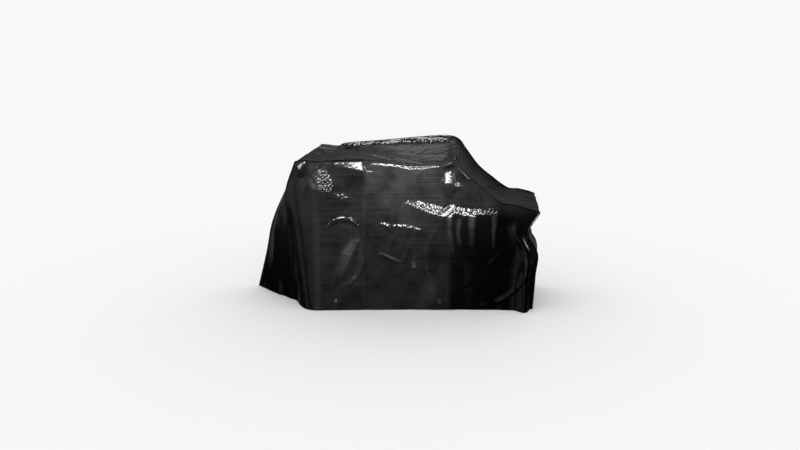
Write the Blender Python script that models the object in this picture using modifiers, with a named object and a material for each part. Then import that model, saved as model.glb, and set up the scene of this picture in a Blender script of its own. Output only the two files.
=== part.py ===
"""Fitted bicycle cover of thin black film, standing as it hangs over an upright bicycle.

The cover is a near side panel, a far side panel and one long gusset between them, welded together
with a flange that stands out. The lowest band of the near side is a strip of its own, which holds
two ring eyelets. The bicycle is left out, so the cover is hollow and open at the bottom.

X runs along the bicycle, Y from the near side to the far side, and Z up. The origin is on the
ground, at the middle of the cover's box.
"""
import math
from collections import namedtuple

import bmesh
import bpy
from mathutils import Vector

# Driving sizes, in metres.
SHEET = 0.0012            # thickness of the film solids
GAP = 0.0003              # room between two pieces that touch
FLANGE = 0.010            # width of the welded flange along each seam
STRIP_HEIGHT = 0.100      # height of the near hem strip
STRIP_GAP = 0.0004        # room between the strip and the panel above it
STRIP_ROWS = 2            # rows of faces up the hem strip
PANEL_ROWS = 13           # rows of faces from the strip to the top seam
GUSSET_STEPS = 7          # faces across the gusset
END_REACH = 0.30          # share of a panel that follows the bends of its end seam
HALF_SEAM = SHEET / 2 + GAP   # from the seam to the middle of each film, as the flange turns
BOX_SHIFT = Vector((0.0006, 0.0066, 0.0))    # brings the middle of the cover's box over the origin
SHARP_TURN = 0.25         # sine of the turn past which a flange follows the crease of its planes
SHARP_ROOM = 1.8          # how much more room the two pieces keep at such a turn

# Eyelets: two-part rings, 24 mm across, with a 12 mm hole.
EYELET_HOLE = 0.0060      # radius
EYELET_BARREL = 0.0070    # radius
EYELET_RIM = 0.0120       # radius
EYELET_PLATE = 0.0010     # thickness of each rim
EYELET_SIDES = 24
EYELET_HEIGHT = 0.065     # height of an eyelet's centre above the ground
EYELET_FACE_Y = -0.2840   # middle of the film where an eyelet sits
EYELET_FLAT = 0.055       # half width of the film's flat spot round an eyelet
EYELETS = {"eyelet_front": -0.405, "eyelet_rear": 0.304}

Station = namedtuple("Station", "name steps top_near top_far hem_near hem_far sag")
# The long run of the cover, from the left end to the nose. Each row is one section: where the top
# seams and the hems stand, the faces up to the next section, and how far the gusset sags there.
STATIONS = [
    Station("left_corner", 2, (-0.650, -0.285, 1.020), (-0.542, 0.300, 1.075),
            (-0.705, -0.070, 0.0), (-1.039, 0.283, 0.0), 0.004),
    Station("corner_turn", 2, (-0.595, -0.288, 1.027), (-0.495, 0.300, 1.072),
            (-0.634, -0.238, 0.0), (-0.905, 0.300, 0.0), 0.010),
    Station("near_grip", 4, (-0.520, -0.290, 1.022), (-0.415, 0.300, 1.064),
            (-0.560, -0.290, 0.0), (-0.740, 0.297, 0.0), 0.016),
    Station("handlebar", 5, (-0.405, -0.286, 1.026), (-0.352, 0.300, 1.086),
            (-0.405, -0.290, 0.0), (-0.560, 0.290, 0.0), 0.022),
    Station("pack_crease", 6, (-0.195, -0.280, 1.031), (-0.083, 0.300, 1.107),
            (-0.205, -0.283, 0.0), (-0.275, 0.294, 0.0), 0.026),
    Station("top_dip", 5, (0.093, -0.270, 0.993), (0.142, 0.300, 1.127),
            (0.115, -0.279, 0.0), (0.090, 0.286, 0.0), 0.028),
    Station("saddle_front", 2, (0.306, -0.280, 0.999), (0.353, 0.300, 1.141),
            (0.335, -0.256, 0.006), (0.300, 0.290, 0.0), 0.020),
    Station("saddle_peak", 1, (0.399, -0.290, 1.031), (0.459, 0.300, 1.121),
            (0.435, -0.262, 0.003), (0.430, 0.296, 0.0), 0.012),
    Station("saddle_back", 2, (0.431, -0.290, 0.981), (0.524, 0.300, 1.040),
            (0.475, -0.270, 0.0), (0.490, 0.298, 0.0), 0.014),
    Station("slope_high", 2, (0.495, -0.290, 0.911), (0.611, 0.300, 0.926),
            (0.540, -0.279, 0.0), (0.580, 0.299, 0.0), 0.018),
    Station("slope_low", 3, (0.572, -0.290, 0.848), (0.698, 0.300, 0.852),
            (0.612, -0.281, 0.0), (0.670, 0.294, 0.0), 0.020),
    Station("rack_front", 3, (0.689, -0.290, 0.752), (0.830, 0.300, 0.757),
            (0.712, -0.285, 0.0), (0.790, 0.288, 0.0), 0.016),
    Station("rack_middle", 2, (0.816, -0.290, 0.726), (0.916, 0.300, 0.745),
            (0.812, -0.296, 0.0), (0.890, 0.292, 0.0), 0.010),
    Station("hem_tail", 2, (0.895, -0.290, 0.700), (0.986, 0.300, 0.729),
            (0.880, -0.340, 0.0), (0.965, 0.296, 0.0), 0.006),
    Station("nose", 0, (0.964, -0.290, 0.683), (1.039, 0.300, 0.711),
            (0.940, -0.262, 0.0), (1.020, 0.290, 0.0), 0.004),
]

EndRow = namedtuple("EndRow", "height near_x near_y far_x far_y bulge")
# The two end seams, from the hem (height 0) to the top seam (height 1), and how far the gusset
# stands out between them there.
LEFT_END = [
    EndRow(0.00, -0.705, -0.070, -1.039, 0.283, 0.012),
    EndRow(0.25, -0.717, -0.120, -0.972, 0.300, 0.022),
    EndRow(0.45, -0.722, -0.170, -0.925, 0.300, 0.026),
    EndRow(0.62, -0.724, -0.215, -0.850, 0.300, 0.022),
    EndRow(0.80, -0.722, -0.250, -0.740, 0.300, 0.014),
    EndRow(1.00, -0.650, -0.285, -0.542, 0.300, 0.004),
]
RIGHT_END = [
    EndRow(0.00, 0.940, -0.262, 1.020, 0.290, 0.006),
    EndRow(0.38, 0.949, -0.280, 1.022, 0.296, 0.012),
    EndRow(0.58, 0.957, -0.286, 1.026, 0.300, 0.014),
    EndRow(0.79, 0.889, -0.290, 0.990, 0.300, -0.010),
    EndRow(1.00, 0.964, -0.290, 1.039, 0.300, 0.004),
]

Fold = namedtuple("Fold", "name x0 z0 x1 z1 width height")
# Main folds of the near side: soft ridges (height above 0) and troughs (below 0) along a line.
NEAR_FOLDS = [
    Fold("ridge_roll", -0.520, 0.970, 0.330, 0.945, 0.075, -0.012),
    Fold("bar_drop", -0.515, 0.990, -0.400, 0.820, 0.070, 0.018),
    Fold("bar_drop_low", -0.400, 0.820, -0.170, 0.640, 0.080, 0.014),
    Fold("under_bar", -0.470, 0.900, -0.230, 0.880, 0.080, -0.012),
    Fold("saddle_funnel", 0.400, 1.000, 0.370, 0.800, 0.060, 0.014),
    Fold("rack_shelf", 0.070, 0.735, 0.560, 0.675, 0.075, 0.024),
    Fold("under_shelf", 0.120, 0.610, 0.560, 0.580, 0.080, -0.008),
    Fold("chain_fold", -0.100, 0.570, 0.140, 0.530, 0.070, 0.010),
    Fold("cross_fold", -0.170, 0.630, 0.150, 0.380, 0.075, 0.008),
    Fold("hem_pull", 0.230, 0.060, 0.300, 0.260, 0.075, -0.010),
]
FAR_FOLDS = [
    Fold("ridge_roll", -0.450, 1.010, 0.350, 1.060, 0.080, -0.010),
    Fold("bar_drop", -0.380, 1.020, -0.560, 0.640, 0.090, 0.016),
    Fold("frame_fold", -0.250, 0.860, 0.280, 0.560, 0.090, 0.012),
    Fold("rack_shelf", 0.250, 0.720, 0.860, 0.680, 0.080, 0.018),
    Fold("hem_pull", -0.150, 0.050, -0.050, 0.350, 0.080, -0.010),
]

Arc = namedtuple("Arc", "name x z radius width height start end")
# Where the film lies against the wheels: ridges along part of a circle, in degrees from +X to +Z.
NEAR_ARCS = [
    Arc("front_wheel", -0.425, 0.393, 0.245, 0.065, 0.010, -60.0, 110.0),
    Arc("rear_wheel", 0.545, 0.390, 0.345, 0.065, 0.012, -75.0, 10.0),
    Arc("rear_wheel_front", 0.545, 0.390, 0.345, 0.065, 0.008, 130.0, 215.0),
]
FAR_ARCS = [
    Arc("front_wheel", -0.470, 0.380, 0.345, 0.065, 0.010, -20.0, 200.0),
    Arc("rear_wheel", 0.560, 0.380, 0.345, 0.065, 0.010, -20.0, 160.0),
]


def clear_scene():
    for obj in list(bpy.data.objects):
        bpy.data.objects.remove(obj, do_unlink=True)


def new_collection(name):
    collection = bpy.data.collections.new(name)
    bpy.context.scene.collection.children.link(collection)
    return collection


def plastic(name, colour, roughness, metallic=0.0):
    material = bpy.data.materials.new(name)
    material.use_nodes = True
    shader = material.node_tree.nodes["Principled BSDF"]
    shader.inputs["Base Color"].default_value = (*colour, 1.0)
    shader.inputs["Roughness"].default_value = roughness
    shader.inputs["Metallic"].default_value = metallic
    return material


def smooth(share):
    """Ease from 0 to 1 as share goes from 0 to 1."""
    share = min(max(share, 0.0), 1.0)
    return share * share * (3.0 - 2.0 * share)


def hermite(values, knots, at):
    """Read a smooth curve through values (Vectors) at rising knots."""
    last = len(knots) - 1
    i = 0
    while i < last - 1 and at > knots[i + 1]:
        i += 1

    def slope(k):
        before, after = max(k - 1, 0), min(k + 1, last)
        return (values[after] - values[before]) / (knots[after] - knots[before])

    span = knots[i + 1] - knots[i]
    t = (at - knots[i]) / span
    a = 2 * t ** 3 - 3 * t ** 2 + 1
    b = t ** 3 - 2 * t ** 2 + t
    c = 3 * t ** 2 - 2 * t ** 3
    d = t ** 3 - t ** 2
    return a * values[i] + b * span * slope(i) + c * values[i + 1] + d * span * slope(i + 1)


def column_shares():
    """Places of the grid columns between the stations, counted in stations."""
    shares = [0.0]
    for index, station in enumerate(STATIONS[:-1]):
        shares += [index + (k + 1) / station.steps for k in range(station.steps)]
    return shares


def station_curve(column, shares):
    """The points of one of the stations' columns at each of the grid's columns."""
    values = [Vector(getattr(station, column)) for station in STATIONS]
    knots = list(range(len(STATIONS)))
    return [hermite(values, knots, share) for share in shares]


def end_curve(rows, side, hem, top, heights):
    """The points of one end seam at each of the heights, which run from 0 to 1."""
    values = [Vector((getattr(row, side + "_x"), getattr(row, side + "_y"), 0.0)) for row in rows]
    knots = [row.height for row in rows]
    points = []
    for height in heights:
        point = hermite(values, knots, height)
        point.z = hem.z + (top.z - hem.z) * height
        points.append(point)
    return points


def row_heights(hem, top):
    """Heights of the grid rows of one column: the strip's rows, then the panel's."""
    low = STRIP_HEIGHT / (top.z - hem.z)
    strip = [low * k / STRIP_ROWS for k in range(STRIP_ROWS)]
    panel = [low + (1.0 - low) * k / PANEL_ROWS for k in range(PANEL_ROWS + 1)]
    return strip + panel


def fold_height(point, folds, arcs):
    """How far the film stands out at a point of a side panel."""
    here = Vector((point.x, point.z))
    total = 0.0
    for fold in folds:
        start, end = Vector((fold.x0, fold.z0)), Vector((fold.x1, fold.z1))
        run = end - start
        along = min(max((here - start).dot(run) / run.length_squared, 0.0), 1.0)
        away = (here - start - along * run).length / fold.width
        total += fold.height * (1.0 - smooth(away / 1.6))
    for arc in arcs:
        spoke = here - Vector((arc.x, arc.z))
        turn = math.degrees(math.atan2(spoke.y, spoke.x)) % 360.0
        middle, half = (arc.start + arc.end) / 2, (arc.end - arc.start) / 2
        off = abs((turn - middle + 180.0) % 360.0 - 180.0)
        away = abs(spoke.length - arc.radius) / arc.width
        total += arc.height * (1.0 - smooth(away / 1.6)) * (1.0 - smooth(off / half - 0.5))
    return total


def flatten_round_eyelets(grid):
    """Bring the film to one upright plane round each eyelet."""
    for x in EYELETS.values():
        for point in [point for row in grid for point in row]:
            away = max(abs(point.x - x), abs(point.z - EYELET_HEIGHT)) / EYELET_FLAT
            point.y += (EYELET_FACE_Y - point.y) * (1.0 - smooth(away - 1.0))


def side_grid(side, folds, arcs, outward):
    """Rows of points of one side panel, from its hem to its top seam."""
    shares = column_shares()
    top = station_curve("top_" + side, shares)
    hem = station_curve("hem_" + side, shares)
    columns = len(shares)
    left_heights = row_heights(hem[0], top[0])
    right_heights = row_heights(hem[-1], top[-1])
    left = end_curve(LEFT_END, side, hem[0], top[0], left_heights)
    right = end_curve(RIGHT_END, side, hem[-1], top[-1], right_heights)
    rows = len(left_heights)
    grid = [[None] * columns for _ in range(rows)]
    for c in range(columns):
        heights = row_heights(hem[c], top[c])
        across = c / (columns - 1)
        near_left = 1.0 - smooth(across / END_REACH)
        near_right = 1.0 - smooth((1.0 - across) / END_REACH)
        for r in range(rows):
            point = hem[c].lerp(top[c], heights[r])
            point += near_left * (left[r] - hem[0].lerp(top[0], left_heights[r]))
            point += near_right * (right[r] - hem[-1].lerp(top[-1], right_heights[r]))
            inner = smooth(across / 0.08) * smooth((1.0 - across) / 0.08)
            inner *= smooth((1.0 - heights[r]) / 0.06) * (0.35 + 0.65 * smooth(heights[r] / 0.15))
            point.y += outward * inner * fold_height(point, folds, arcs)
            grid[r][c] = point + BOX_SHIFT
    return grid


def gusset_crown():
    """How far the gusset stands out (or sags, below 0) at each point of the seams."""
    sags = [Vector((-station.sag, 0.0)) for station in STATIONS]
    along = [hermite(sags, list(range(len(STATIONS))), share).x for share in column_shares()]
    first, last = STATIONS[0], STATIONS[-1]
    ends = []
    for rows, hem, top in ((LEFT_END, first.hem_near, first.top_near),
                           (RIGHT_END, last.hem_near, last.top_near)):
        bulges = [Vector((row.bulge, 0.0)) for row in rows]
        knots = [row.height for row in rows]
        heights = row_heights(Vector(hem), Vector(top))
        ends.append([hermite(bulges, knots, height).x for height in heights])
    return ends[0] + along[1:-1] + ends[1][::-1]


def gusset_grid(near, far):
    """Rows of points across the gusset, from the near seam to the far seam."""
    crowns = gusset_crown()
    rows = []
    for step in range(GUSSET_STEPS + 1):
        share = step / GUSSET_STEPS
        rows.append([a.lerp(b, share) for a, b in zip(near, far)])
    for i in range(len(near)):
        before, after = max(i - 1, 0), min(i + 1, len(near) - 1)
        along = rows[0][after] - rows[0][before] + rows[-1][after] - rows[-1][before]
        out = along.cross(far[i] - near[i]).normalized()
        for step in range(GUSSET_STEPS + 1):
            share = step / GUSSET_STEPS
            rows[step][i] += out * crowns[i] * 4.0 * share * (1.0 - share)
    return rows


def add_grid(bm, grid, facing):
    """Add the points and faces of a grid; returns its vertices, row by row."""
    verts = [[bm.verts.new(point) for point in row] for row in grid]
    for low, high in zip(verts, verts[1:]):
        for k in range(len(low) - 1):
            ring = (low[k], low[k + 1], high[k + 1], high[k])
            bm.faces.new(ring if facing > 0 else ring[::-1])
    return verts


def add_flange(bm, verts, outs, facing):
    """Carry a seam edge on into the welded flange, which stands out from the cover."""
    tips = [bm.verts.new(vert.co + out * FLANGE) for vert, out in zip(verts, outs)]
    for k in range(len(verts) - 1):
        ring = (verts[k], verts[k + 1], tips[k + 1], tips[k])
        bm.faces.new(ring if facing > 0 else ring[::-1])


def seam_keys(rows, columns):
    """Row and column of each seam point: up the left end, along the top, down the right end."""
    up = [(row, 0) for row in range(rows)]
    along = [(rows - 1, column) for column in range(1, columns - 1)]
    down = [(row, columns - 1) for row in reversed(range(rows))]
    return up + along + down


def inner_key(key, rows, columns):
    """The grid point one step in from a seam point."""
    row, column = key
    column_in = min(max(column, 1), columns - 2)
    row_in = min(row, rows - 2)
    return row_in, column_in


def segment_frame(start, end, side_inner, gusset_inner, facing):
    """On one stretch of seam: the way its flange stands out, and the way to the side panel."""
    along = facing * (end - start).normalized()
    middle = (start + end) / 2
    to_side = (side_inner - middle).normalized()
    to_gusset = (gusset_inner - middle).normalized()
    out = to_side.cross(along).normalized() + along.cross(to_gusset).normalized()
    out = (out - out.dot(along) * along).normalized()
    across = out.cross(along).normalized()
    if across.dot(to_side - to_gusset) < 0.0:
        across = -across
    return out, across


def seam_frames(grid, gusset_inner, facing):
    """At each seam point: the way its flange stands out, and the mitred way to the side panel."""
    rows, columns = len(grid), len(grid[0])
    keys = seam_keys(rows, columns)
    seam = [grid[row][column] for row, column in keys]
    inner_keys = [inner_key(key, rows, columns) for key in keys]
    inner = [grid[row][column] for row, column in inner_keys]
    segments = []
    for i in range(len(seam) - 1):
        side_inner = (inner[i] + inner[i + 1]) / 2
        strip_inner = (gusset_inner[i] + gusset_inner[i + 1]) / 2
        segments.append(segment_frame(seam[i], seam[i + 1], side_inner, strip_inner, facing))
    frames = []
    for i in range(len(seam)):
        out_a, across_a = segments[max(i - 1, 0)]
        out_b, across_b = segments[min(i, len(segments) - 1)]
        across = (across_a + across_b) / (1.0 + across_a.dot(across_b))
        out = (out_a + out_b).normalized()
        crease = across_a.cross(across_b)
        if crease.length > SHARP_TURN:
            out = crease.normalized() * math.copysign(1.0, crease.dot(out))
            across *= SHARP_ROOM
        else:
            out = (out - out.project(across)).normalized()
        if i in (0, len(seam) - 1):
            out = Vector((out.x, out.y, 0.0)).normalized()
        frames.append((out, across))
    return frames


def film_object(name, bm, collection, material):
    """Give an open sheet its thickness, half on each side."""
    mesh = bpy.data.meshes.new(name)
    bm.to_mesh(mesh)
    bm.free()
    mesh.materials.append(material)
    obj = bpy.data.objects.new(name, mesh)
    collection.objects.link(obj)
    solidify = obj.modifiers.new("thickness", "SOLIDIFY")
    solidify.thickness = SHEET
    solidify.offset = 0.0
    solidify.use_even_offset = True
    return obj


def side_object(name, grid, frames, first, last, facing, collection, material):
    """One piece of a side, from grid row first to grid row last, with its flange."""
    rows, columns = len(grid), len(grid[0])
    points = [[point.copy() for point in row] for row in grid]
    keys = seam_keys(rows, columns)
    for (row, column), (out, across) in zip(keys, frames):
        points[row][column] += across * HALF_SEAM
    if first > 0:
        points[first] = [point + Vector((0.0, 0.0, STRIP_GAP / 2)) for point in points[first]]
    if last < rows - 1:
        points[last] = [point - Vector((0.0, 0.0, STRIP_GAP / 2)) for point in points[last]]
    bm = bmesh.new()
    verts = add_grid(bm, points[first:last + 1], facing)
    runs = [[]]
    for key, (out, across) in zip(keys, frames):
        if first <= key[0] <= last:
            runs[-1].append((verts[key[0] - first][key[1]], out))
        elif runs[-1]:
            runs.append([])
    for run in runs:
        add_flange(bm, [vert for vert, out in run], [out for vert, out in run], facing)
    return film_object(name, bm, collection, material)


def gusset_object(name, grid, near_frames, far_frames, collection, material):
    points = [[point.copy() for point in row] for row in grid]
    for i, (out, across) in enumerate(near_frames):
        points[0][i] -= across * HALF_SEAM
    for i, (out, across) in enumerate(far_frames):
        points[-1][i] -= across * HALF_SEAM
    bm = bmesh.new()
    verts = add_grid(bm, points, 1)
    add_flange(bm, verts[0], [out for out, across in near_frames], -1)
    add_flange(bm, verts[-1], [out for out, across in far_frames], 1)
    return film_object(name, bm, collection, material)


def eyelet_object(name, x, collection, material):
    """A ring in two rims and a barrel, turned about Y, that grips the film."""
    grip = SHEET / 2 + GAP
    face = grip + EYELET_PLATE
    profile = [
        (EYELET_HOLE, -face), (EYELET_RIM, -face), (EYELET_RIM, -grip), (EYELET_BARREL, -grip),
        (EYELET_BARREL, grip), (EYELET_RIM, grip), (EYELET_RIM, face), (EYELET_HOLE, face),
    ]
    bm = bmesh.new()
    verts = [bm.verts.new((radius, y, 0.0)) for radius, y in profile]
    for a, b in zip(verts, verts[1:] + verts[:1]):
        bm.edges.new((b, a))
    mesh = bpy.data.meshes.new(name)
    bm.to_mesh(mesh)
    bm.free()
    mesh.materials.append(material)
    obj = bpy.data.objects.new(name, mesh)
    obj.location = (x, EYELET_FACE_Y, EYELET_HEIGHT)
    collection.objects.link(obj)
    screw = obj.modifiers.new("turned", "SCREW")
    screw.axis = "Y"
    screw.angle = math.tau
    screw.steps = EYELET_SIDES
    screw.render_steps = EYELET_SIDES
    screw.use_merge_vertices = True
    screw.merge_threshold = 0.0001
    return obj


def cut_eyelet_holes(strip, cutters):
    """Cut one round hole in the hem strip for each eyelet's barrel."""
    for name, x in EYELETS.items():
        bpy.ops.mesh.primitive_cylinder_add(
            vertices=EYELET_SIDES, radius=EYELET_BARREL + GAP, depth=20 * SHEET,
            location=(x, EYELET_FACE_Y, EYELET_HEIGHT), rotation=(math.pi / 2, 0.0, 0.0))
        cutter = bpy.context.object
        cutter.name = "cut_" + name
        bpy.context.collection.objects.unlink(cutter)
        cutters.objects.link(cutter)
        cutter.hide_render = True
        cutter.display_type = "WIRE"
        hole = strip.modifiers.new("hole_" + name, "BOOLEAN")
        hole.operation = "DIFFERENCE"
        hole.solver = "EXACT"
        hole.object = cutter


def build():
    clear_scene()
    cover = new_collection("bicycle_cover")
    cutters = new_collection("cutters")
    film = plastic("polyethylene_film", (0.013, 0.013, 0.014), 0.28)
    nickel = plastic("nickel_plate", (0.60, 0.58, 0.54), 0.25, metallic=1.0)

    near = side_grid("near", NEAR_FOLDS, NEAR_ARCS, -1.0)
    flatten_round_eyelets(near)
    far = side_grid("far", FAR_FOLDS, FAR_ARCS, 1.0)
    keys = seam_keys(len(near), len(near[0]))
    gusset = gusset_grid([near[r][c] for r, c in keys], [far[r][c] for r, c in keys])
    near_frames = seam_frames(near, gusset[1], 1.0)
    far_frames = seam_frames(far, gusset[-2], -1.0)

    top_row = len(near) - 1
    strip = side_object("near_hem_strip", near, near_frames, 0, STRIP_ROWS, 1, cover, film)
    side_object("near_side_panel", near, near_frames, STRIP_ROWS, top_row, 1, cover, film)
    side_object("far_side_panel", far, far_frames, 0, top_row, -1, cover, film)
    gusset_object("gusset", gusset, near_frames, far_frames, cover, film)
    cut_eyelet_holes(strip, cutters)
    for name, x in EYELETS.items():
        eyelet_object(name, x, cover, nickel)


build()
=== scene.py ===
"""Fitted bicycle cover of thin black polyethylene film, as it hangs over an upright bicycle.

Each piece of film is a fine grid laid on the same seams as its solid, then pulled into the folds
that the handlebar, saddle, rack and wheels press into it. X runs along the bicycle, Z up. Sizes are
in metres, and in millimetres where the folds are listed.
"""
import math
from collections import namedtuple

import bpy
import numpy as np
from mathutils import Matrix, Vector


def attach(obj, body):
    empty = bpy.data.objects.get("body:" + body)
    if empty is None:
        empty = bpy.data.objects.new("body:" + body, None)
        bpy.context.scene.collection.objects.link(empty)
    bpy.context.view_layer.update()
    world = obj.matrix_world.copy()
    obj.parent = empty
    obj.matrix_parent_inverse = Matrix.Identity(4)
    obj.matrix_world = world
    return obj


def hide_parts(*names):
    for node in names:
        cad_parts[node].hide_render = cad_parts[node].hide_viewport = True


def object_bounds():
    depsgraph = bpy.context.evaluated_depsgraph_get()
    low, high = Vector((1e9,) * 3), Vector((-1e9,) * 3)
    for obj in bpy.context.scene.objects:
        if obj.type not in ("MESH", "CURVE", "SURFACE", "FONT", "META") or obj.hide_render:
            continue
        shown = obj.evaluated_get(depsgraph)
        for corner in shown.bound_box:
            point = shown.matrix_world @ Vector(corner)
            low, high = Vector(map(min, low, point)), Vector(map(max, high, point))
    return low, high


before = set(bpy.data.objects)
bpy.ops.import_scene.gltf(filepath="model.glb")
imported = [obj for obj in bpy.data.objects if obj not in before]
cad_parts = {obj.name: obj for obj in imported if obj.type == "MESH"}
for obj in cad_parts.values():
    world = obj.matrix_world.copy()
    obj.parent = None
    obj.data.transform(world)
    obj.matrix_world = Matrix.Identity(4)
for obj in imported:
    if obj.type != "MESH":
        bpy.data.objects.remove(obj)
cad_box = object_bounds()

# ---------------------------------------------------------------- sizes
FILM = 0.0005             # thickness of the film as modelled; the real one is about 0.1 mm
FINE = {"near": 0.0064, "far": 0.0067, "gusset": 0.0085}    # spacing of each grid
SAME_PLACE = 0.00001      # points nearer than this are one point
HALF_SEAM = 0.0009        # from a seam to the middle of each of its two films
FLANGE = 0.010            # width of the welded flange
FLANGE_STEPS = 2
HEM_FOLD = 0.016          # height of the turned hem
HEM_DOUBLE = 0.0008       # how far the doubled hem stands out
HEM_ROWS = (0.0, 0.5, 1.0, 1.12)    # rows across the turned hem, in heights of the hem
HEM_END = 1.05            # where it stops standing out, between two of these rows
ABOVE_HEM = 1.5           # the first of the even rows above it
END_REACH = 0.30          # share of a side that follows the bends of its end seam
BOX_SHIFT = np.array((0.0006, 0.0066, 0.0))    # centres the part's box over the origin
THOUSAND = 1000.0

SIDE_TALL = 1.08          # about how tall a side is, for the spacing of its rows
END_TALL = 1.10           # the same for the gusset's two ends
GUSSET_WIDE = 0.62        # about how wide the gusset is, for the spacing across it
END_INSIDE = 0.3          # share of the first and last bay at which "just inside" is read
TOP_INSIDE = 0.95         # and the share of a side's height for the same
EVEN_ROUNDS = 3           # how often the directions along a seam are evened out
EDGE_EASE = 0.012         # folds run out to nothing this near to a seam
TOP_EASE = 0.008          # and this near to the top seam of a side
HEM_EASE = 0.16           # height over which the wave of the hem runs out
SIDE_WAVE = 0.004         # how far the hem of a side waves
END_WAVE = 0.006          # and the hems of the gusset
SIDE_WAVES = (0.42, 0.20)      # lengths of the waves
END_WAVES = (0.2, 0.1)
FLANGE_WAVES = (0.09, 0.04)
FLANGE_SEED = 5
FLANGE_UNEVEN = 0.12      # share by which the flange's width varies
FLANGE_WAVE = 0.0025      # how far its rim waves
CREST = 0.003             # how softly a crest is rounded along its top
CREST_STEP = 0.012        # length of the straight steps that a crest is read in
BAY_STEPS = 40            # steps in which the length between two stations is measured
TOE = 0.25                # share of a crest's slope that eases out at its foot
ARC_EVEN = 0.6            # share of an arc that stands out fully, before it fades to its ends

# Random creases: how many, and their greatest height, length and width.
SIDE_CREASES = ((260, 0.0014, 0.22, 0.045), (420, 0.0006, 0.08, 0.018))
GUSSET_CREASES = ((420, 0.0024, 0.24, 0.045), (700, 0.0010, 0.08, 0.018))
CREASE_LENGTHS = (0.25, 1.0)    # shares of the greatest length, and of the greatest width
CREASE_WIDTHS = (0.35, 1.0)
CREASE_BEND = 0.5         # radians, at its middle
RIPPLE_LENGTHS = (0.7, 1.4)     # shares of a wave's length
FULL_TURN = 6.3           # radians, about
SEEDS = {"near": 11, "far": 31, "gusset": 51}

EYELETS = {"eyelet_front": -0.405, "eyelet_rear": 0.304}    # x of each
EYELET_HEIGHT = 0.065     # of its middle
EYELET_Y = -0.2840        # the plane in which the film lies flat round both
EYELET_FLAT = 0.014       # radius of that flat
EYELET_BLEND = 0.150      # over which the flat runs out into the film
EYELET_HOLE = 0.0060      # radius of the hole
EYELET_BARREL = 0.0070    # outer radius of the barrel between the plates
EYELET_EDGE = 0.0088      # radius of the film's cut edge, hidden between the plates
EYELET_CUT = 0.0090       # faces whose middle is within this are cut out of the film
EYELET_RIM = 0.0120       # outer radius of the plates
EYELET_GRIP = 0.0009      # from the film's middle to the inside of a plate
EYELET_FACE = 0.0019      # from the film's middle to the outside of a plate
EYELET_SIDES = 48
EYELET_LIP = 0.0016       # width of the flat rim round the sunk ring
EYELET_SINK = 0.80        # share of its height that the sunk ring keeps
EYELET_ROUND = (0.0005, 3), (0.0009, 4)    # radius and steps of the rim's and the hole's edge
EYELET_NEAR = 0.0001      # an edge this near to a face belongs to it
EYELET_SMOOTH = 40.0      # degrees between faces up to which they are shaded as one

# ---------------------------------------------------------------- seams and hems
Station = namedtuple("Station", "name top_near top_far hem_near hem_far sag")
STATIONS = [
    Station("left_corner", (-0.650, -0.285, 1.020), (-0.542, 0.300, 1.075),
            (-0.705, -0.070, 0.0), (-1.039, 0.283, 0.0), 0.004),
    Station("corner_turn", (-0.595, -0.288, 1.027), (-0.495, 0.300, 1.072),
            (-0.634, -0.238, 0.0), (-0.905, 0.300, 0.0), 0.010),
    Station("near_grip", (-0.520, -0.290, 1.022), (-0.415, 0.300, 1.064),
            (-0.560, -0.290, 0.0), (-0.740, 0.297, 0.0), 0.016),
    Station("handlebar", (-0.405, -0.286, 1.026), (-0.352, 0.300, 1.086),
            (-0.405, -0.290, 0.0), (-0.560, 0.290, 0.0), 0.022),
    Station("pack_crease", (-0.195, -0.280, 1.031), (-0.083, 0.300, 1.107),
            (-0.205, -0.283, 0.0), (-0.275, 0.294, 0.0), 0.026),
    Station("top_dip", (0.093, -0.270, 0.993), (0.142, 0.300, 1.127),
            (0.115, -0.279, 0.0), (0.090, 0.286, 0.0), 0.028),
    Station("saddle_front", (0.306, -0.280, 0.999), (0.353, 0.300, 1.141),
            (0.335, -0.273, 0.006), (0.300, 0.290, 0.0), 0.020),
    Station("saddle_peak", (0.399, -0.290, 1.031), (0.459, 0.300, 1.121),
            (0.435, -0.270, 0.003), (0.430, 0.296, 0.0), 0.012),
    Station("saddle_back", (0.431, -0.290, 0.981), (0.524, 0.300, 1.040),
            (0.475, -0.270, 0.0), (0.490, 0.298, 0.0), 0.014),
    Station("slope_high", (0.495, -0.290, 0.911), (0.611, 0.300, 0.926),
            (0.540, -0.279, 0.0), (0.580, 0.299, 0.0), 0.018),
    Station("slope_low", (0.572, -0.290, 0.848), (0.698, 0.300, 0.852),
            (0.612, -0.281, 0.0), (0.670, 0.294, 0.0), 0.020),
    Station("rack_front", (0.689, -0.290, 0.752), (0.830, 0.300, 0.757),
            (0.712, -0.285, 0.0), (0.790, 0.288, 0.0), 0.016),
    Station("rack_middle", (0.816, -0.290, 0.726), (0.916, 0.300, 0.745),
            (0.812, -0.296, 0.0), (0.890, 0.292, 0.0), 0.010),
    Station("hem_tail", (0.895, -0.290, 0.700), (0.986, 0.300, 0.729),
            (0.880, -0.340, 0.0), (0.965, 0.296, 0.0), 0.006),
    Station("nose", (0.964, -0.290, 0.683), (1.039, 0.300, 0.711),
            (0.940, -0.262, 0.0), (1.020, 0.290, 0.0), 0.004),
]

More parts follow.
